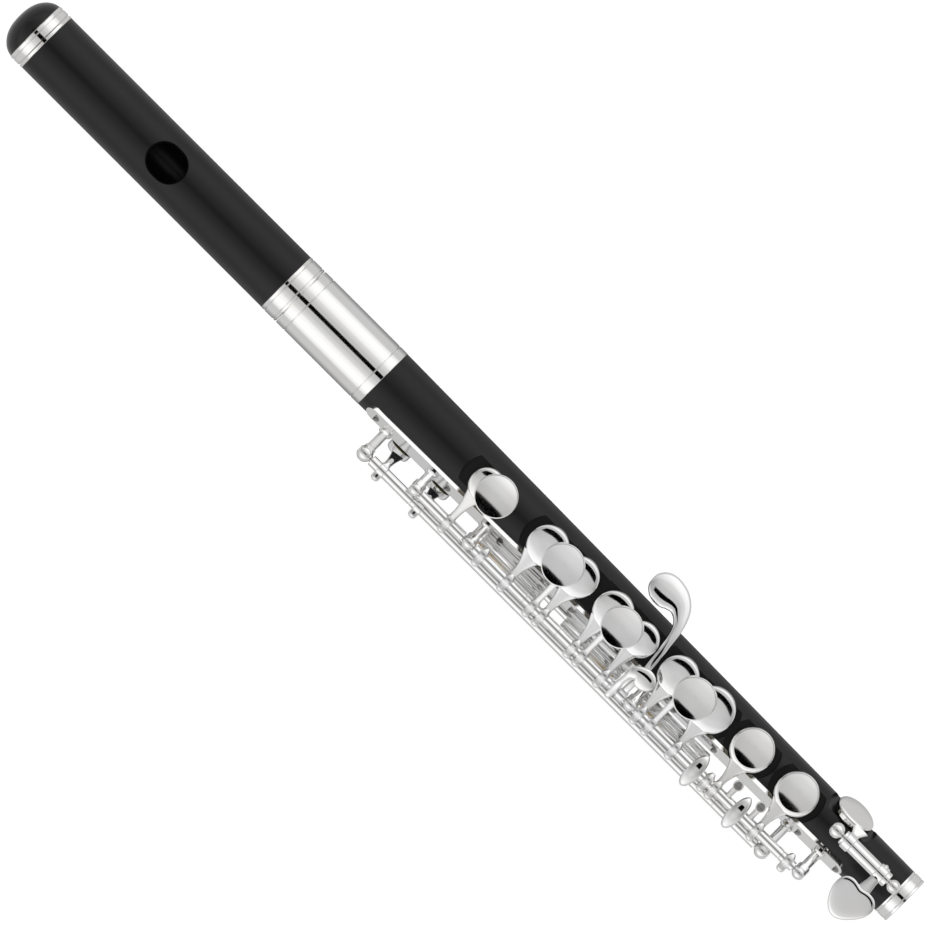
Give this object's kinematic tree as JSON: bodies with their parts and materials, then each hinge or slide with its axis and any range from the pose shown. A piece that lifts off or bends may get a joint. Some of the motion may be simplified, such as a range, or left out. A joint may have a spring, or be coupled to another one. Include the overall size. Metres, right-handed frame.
{
  "type": "piccolo",
  "caption": "Small conical-bore piccolo flute with a turning, sliding head, a screw crown with stopper, and hinged Boehm keywork on ribs and posts.",
  "frame": {"origin": "centre of the foot end face, on the bore axis", "axes": "+X along the bore from the foot to the crown, +Z out of the embouchure hole, +Y towards the side of the key rods"},
  "size_m": [0.3147, 0.0371, 0.0284],
  "materials": {
    "body_black": "satin moulded black resin",
    "crown_black": "polished black resin",
    "silver_plate": "bright silver plating on nickel silver",
    "plated_ring": "bright silver plating",
    "steel": "ground steel rod",
    "screw_steel": "turned steel screw",
    "brass_thread": "turned brass",
    "cork": "natural cork",
    "pad_skin": "bladder skin over felt",
    "pad_olive": "olive gold bladder skin over felt"
  },
  "bodies": {
    "root": {"back_rib": "silver_plate", "barrel": "plated_ring", "body_tube": "body_black", "c_sharp_steel": "steel", "foot_ring": "plated_ring", "key_rib": "silver_plate", "main_posts": "silver_plate", "pinky_posts": "silver_plate", "pinky_steel": "steel", "rib_screws": "screw_steel", "thumb_posts": "silver_plate", "thumb_steel": "steel", "trill_posts": "silver_plate"},
    "tuning_slide": {"head_tenon": "plated_ring"},
    "head": {"head_tube": "body_black", "head_ferrule": "plated_ring", "head_end_ring": "plated_ring"},
    "crown": {"crown_cap": "crown_black", "crown_ring": "plated_ring"},
    "stopper": {"stopper_screw": "brass_thread", "stopper_cork": "cork", "stopper_nut": "brass_thread"},
    "c_sharp_key": {"c_sharp_key": "silver_plate", "c_sharp_pad": "pad_skin"},
    "b_flat_key": {"b_flat_key": "silver_plate", "b_flat_pad": "pad_skin", "left_hand_steel": "steel", "shake_lever": "silver_plate"},
    "a_key": {"a_key": "silver_plate", "a_pad": "pad_skin"},
    "g_key": {"g_key": "silver_plate", "g_pads": "pad_skin"},
    "g_sharp_key": {"g_sharp_key": "silver_plate", "g_sharp_lever": "silver_plate", "g_sharp_pad": "pad_skin"},
    "f_sharp_key": {"f_sharp_key": "silver_plate", "f_sharp_pad": "pad_skin", "right_hand_steel": "steel", "end_collar": "silver_plate"},
    "f_key": {"f_key": "silver_plate", "f_pad": "pad_skin"},
    "e_key": {"e_key": "silver_plate", "e_pad": "pad_skin", "e_adjusting_screw": "screw_steel"},
    "d_key": {"d_key": "silver_plate", "d_pad": "pad_skin", "d_adjusting_screw": "screw_steel"},
    "d_sharp_key": {"d_sharp_key": "silver_plate", "d_sharp_touch": "silver_plate", "d_sharp_pad": "pad_skin"},
    "d_trill_key": {"d_trill_key": "silver_plate", "d_trill_pad": "pad_olive"},
    "d_sharp_trill_key": {"d_sharp_trill_key": "silver_plate", "d_sharp_trill_touch": "silver_plate", "d_sharp_trill_pad": "pad_olive", "trill_steel": "steel"},
    "thumb_b_key": {"thumb_b_key": "silver_plate", "thumb_b_pad": "pad_skin"},
    "thumb_flat_lever": {"thumb_flat_lever": "silver_plate"}
  },
  "joints": [
    {"name": "tuning", "type": "slide", "parent": "root", "child": "tuning_slide", "axis": [1, 0, 0], "range_m": [0, 0.012]},
    {"name": "head_turn", "type": "hinge", "parent": "tuning_slide", "child": "head", "pos_m": [0.24, 0, 0], "axis": [1, 0, 0], "continuous": true},
    {"name": "crown_turn", "type": "hinge", "parent": "head", "child": "crown", "pos_m": [0.308, 0, 0], "axis": [1, 0, 0], "range_deg": [-720, 720]},
    {"name": "stopper_draw", "type": "slide", "parent": "head", "child": "stopper", "axis": [1, 0, 0], "range_m": [-0.0015, 0.0015]},
    {"name": "c_sharp_press", "type": "hinge", "parent": "root", "child": "c_sharp_key", "pos_m": [0.148, 0.0138, 0.00734], "axis": [1, 0, 0], "range_deg": [0, 9]},
    {"name": "b_flat_close", "type": "hinge", "parent": "root", "child": "b_flat_key", "pos_m": [0.127, 0.0138, 0.00734], "axis": [1, 0, 0], "range_deg": [0, 9]},
    {"name": "a_press", "type": "hinge", "parent": "root", "child": "a_key", "pos_m": [0.115, 0.0138, 0.00734], "axis": [1, 0, 0], "range_deg": [0, 9]},
    {"name": "g_press", "type": "hinge", "parent": "root", "child": "g_key", "pos_m": [0.1, 0.0138, 0.00734], "axis": [1, 0, 0], "range_deg": [0, 9]},
    {"name": "g_sharp_press", "type": "hinge", "parent": "root", "child": "g_sharp_key", "pos_m": [0.087, 0.0138, 0.00734], "axis": [1, 0, 0], "range_deg": [0, 7]},
    {"name": "f_sharp_close", "type": "hinge", "parent": "root", "child": "f_sharp_key", "pos_m": [0.08, 0.0138, 0.00734], "axis": [1, 0, 0], "range_deg": [0, 9]},
    {"name": "f_press", "type": "hinge", "parent": "root", "child": "f_key", "pos_m": [0.07, 0.0138, 0.00734], "axis": [1, 0, 0], "range_deg": [0, 9]},
    {"name": "e_press", "type": "hinge", "parent": "root", "child": "e_key", "pos_m": [0.055, 0.0138, 0.00734], "axis": [1, 0, 0], "range_deg": [0, 9]},
    {"name": "d_press", "type": "hinge", "parent": "root", "child": "d_key", "pos_m": [0.04, 0.0138, 0.00734], "axis": [1, 0, 0], "range_deg": [0, 9]},
    {"name": "d_sharp_press", "type": "hinge", "parent": "root", "child": "d_sharp_key", "pos_m": [0.015, -0.00048, 0.0101], "axis": [-1, 0, 0], "range_deg": [0, 10]},
    {"name": "d_trill_press", "type": "hinge", "parent": "root", "child": "d_trill_key", "pos_m": [0.1, 0.0164, 0.0049], "axis": [1, 0, 0], "range_deg": [0, 11]},
    {"name": "d_sharp_trill_press", "type": "hinge", "parent": "root", "child": "d_sharp_trill_key", "pos_m": [0.1, 0.0164, 0.0049], "axis": [1, 0, 0], "range_deg": [0, 11]},
    {"name": "thumb_b_press", "type": "hinge", "parent": "root", "child": "thumb_b_key", "pos_m": [0.127, 0.00925, -0.0078], "axis": [-1, 0, 0], "range_deg": [0, 10]},
    {"name": "thumb_flat_press", "type": "hinge", "parent": "root", "child": "thumb_flat_lever", "pos_m": [0.112, 0.00925, -0.0078], "axis": [-1, 0, 0], "range_deg": [0, 10]}
  ],
  "couplings": [
    {"joint": "stopper_draw", "follows": "crown_turn", "m_per_rad": 0.00011141},
    {"joint": "b_flat_close", "follows": "a_press", "ratio": 1},
    {"joint": "f_sharp_close", "follows": "f_press", "ratio": 1}
  ]
}
